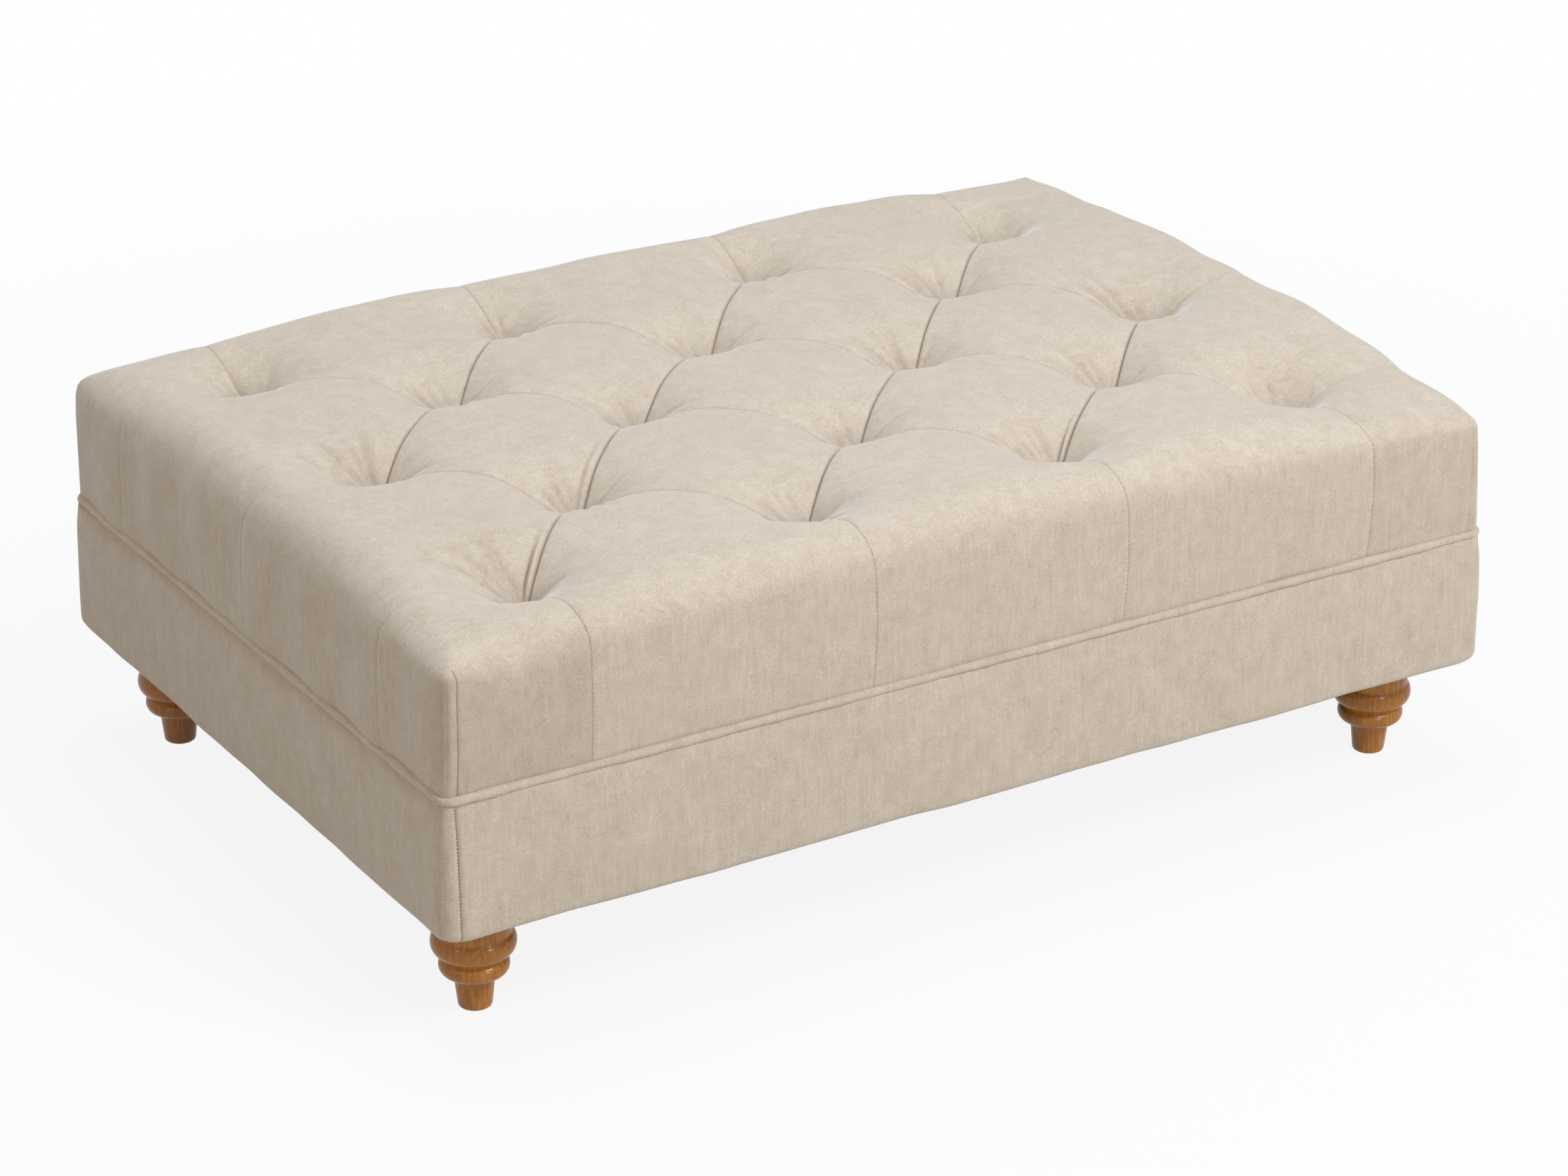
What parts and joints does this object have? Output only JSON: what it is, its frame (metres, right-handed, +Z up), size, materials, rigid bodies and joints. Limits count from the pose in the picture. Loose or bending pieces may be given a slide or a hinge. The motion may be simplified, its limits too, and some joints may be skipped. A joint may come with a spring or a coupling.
{
  "type": "upholstered bench",
  "caption": "Low rectangular footstool bench: deep-tufted velvet cushion with sewn diamond panels and piping on a fabric-covered box base with turned wooden feet, for sitting or resting feet.",
  "frame": {"origin": "on the floor, under the middle of the bench", "axes": "+X along the bench's length, +Y towards its back, +Z up"},
  "size_m": [1.11, 0.773, 0.3983],
  "materials": {
    "cover_velvet": "beige velvet, fine twill, sewn panels",
    "border_velvet": "beige velvet, plain",
    "piping_velvet": "beige velvet welt cord",
    "foot_wood": "stained and lacquered beech",
    "frame_wood": "planed softwood",
    "board_wood": "birch plywood",
    "foam": "upholstery foam",
    "wadding": "polyester wadding",
    "dust_cloth": "black non-woven cloth",
    "zinc_steel": "zinc plated",
    "twine": "waxed tufting twine"
  },
  "bodies": {
    "root": {"seat_cover": "cover_velvet", "piping": "piping_velvet", "wadding_layer": "wadding", "foam_pad": "foam", "top_board": "board_wood", "front_rail": "frame_wood", "back_rail": "frame_wood", "left_rail": "frame_wood", "right_rail": "frame_wood", "cross_rail_left": "frame_wood", "cross_rail_right": "frame_wood", "border_padding": "wadding", "dust_cover": "dust_cloth", "border_front": "border_velvet", "border_back": "border_velvet", "border_left": "border_velvet", "border_right": "border_velvet", "foot_front_left": "foot_wood", "corner_block_front_left": "frame_wood", "hanger_bolt_front_left": "zinc_steel", "t_nut_front_left": "zinc_steel", "screw_long_front_left": "zinc_steel", "screw_end_front_left": "zinc_steel", "foot_front_right": "foot_wood", "corner_block_front_right": "frame_wood", "hanger_bolt_front_right": "zinc_steel", "t_nut_front_right": "zinc_steel", "screw_long_front_right": "zinc_steel", "screw_end_front_right": "zinc_steel", "foot_back_left": "foot_wood", "corner_block_back_left": "frame_wood", "hanger_bolt_back_left": "zinc_steel", "t_nut_back_left": "zinc_steel", "screw_long_back_left": "zinc_steel", "screw_end_back_left": "zinc_steel", "foot_back_right": "foot_wood", "corner_block_back_right": "frame_wood", "hanger_bolt_back_right": "zinc_steel", "t_nut_back_right": "zinc_steel", "screw_long_back_right": "zinc_steel", "screw_end_back_right": "zinc_steel", "tuft_tie_01": "twine", "tuft_tie_02": "twine", "tuft_tie_03": "twine", "tuft_tie_04": "twine", "tuft_tie_05": "twine", "tuft_tie_06": "twine", "tuft_tie_07": "twine", "tuft_tie_08": "twine", "tuft_tie_09": "twine", "tuft_tie_10": "twine", "tuft_tie_11": "twine", "tuft_tie_12": "twine", "tuft_tie_13": "twine", "tuft_tie_14": "twine", "tuft_tie_15": "twine", "tuft_tie_16": "twine", "tuft_tie_17": "twine", "tuft_tie_18": "twine"}
  },
  "joints": []
}
